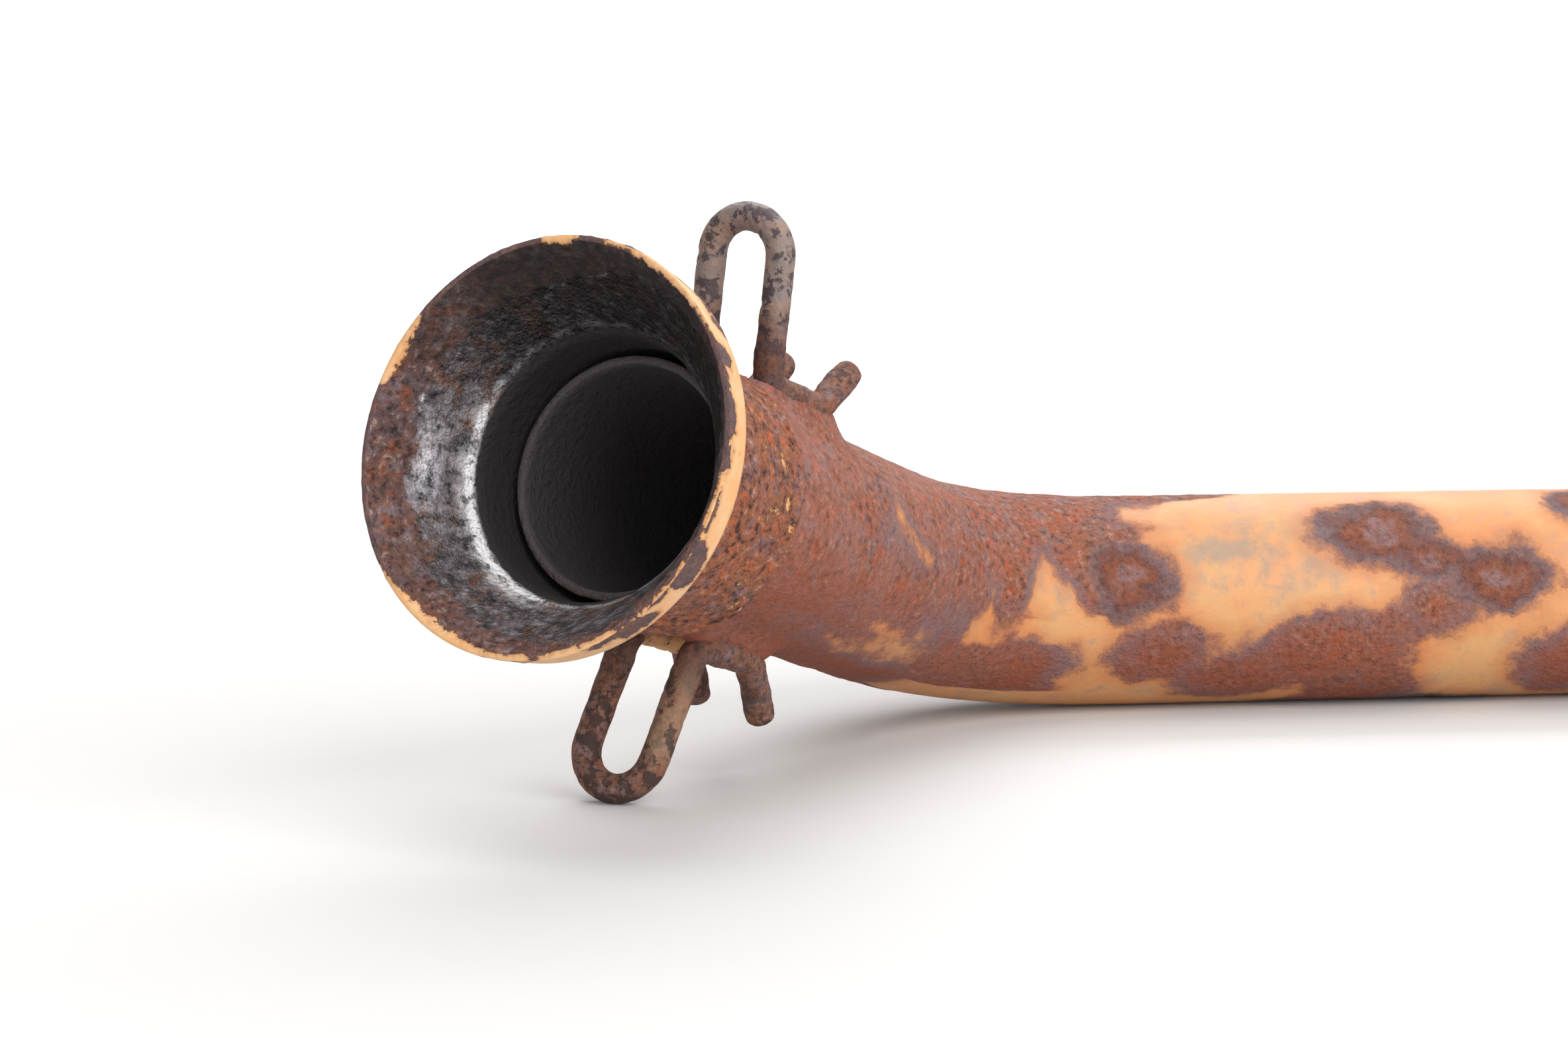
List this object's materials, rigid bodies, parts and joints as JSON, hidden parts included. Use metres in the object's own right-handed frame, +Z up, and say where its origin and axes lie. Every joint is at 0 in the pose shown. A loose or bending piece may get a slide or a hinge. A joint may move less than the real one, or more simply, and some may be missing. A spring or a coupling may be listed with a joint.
{
  "type": "bent exhaust pipe with flared inlet",
  "caption": "Rusty bent steel exhaust pipe with a flared slip collar at its inlet and a wire spring hook on each side of it.",
  "frame": {"origin": "on the floor, under the middle of the part's bounding box, as it lies at rest", "axes": "+X along the straight run towards its cut end, +Z up, the flared inlet at the -X end turned towards -Y"},
  "size_m": [0.5936, 0.163, 0.1044],
  "materials": {
    "pipe_steel": "rusted, with patches of heat-aged tan paint",
    "collar_steel": "coarse rust outside, sooty inside, tan paint on the lip",
    "upper_hook_steel": "aged tan-grey paint with rust spots",
    "lower_hook_steel": "brown rust with worn paint"
  },
  "bodies": {
    "root": {"bent_pipe": "pipe_steel", "flared_collar": "collar_steel", "upper_spring_hook": "upper_hook_steel", "lower_spring_hook": "lower_hook_steel"}
  },
  "joints": []
}
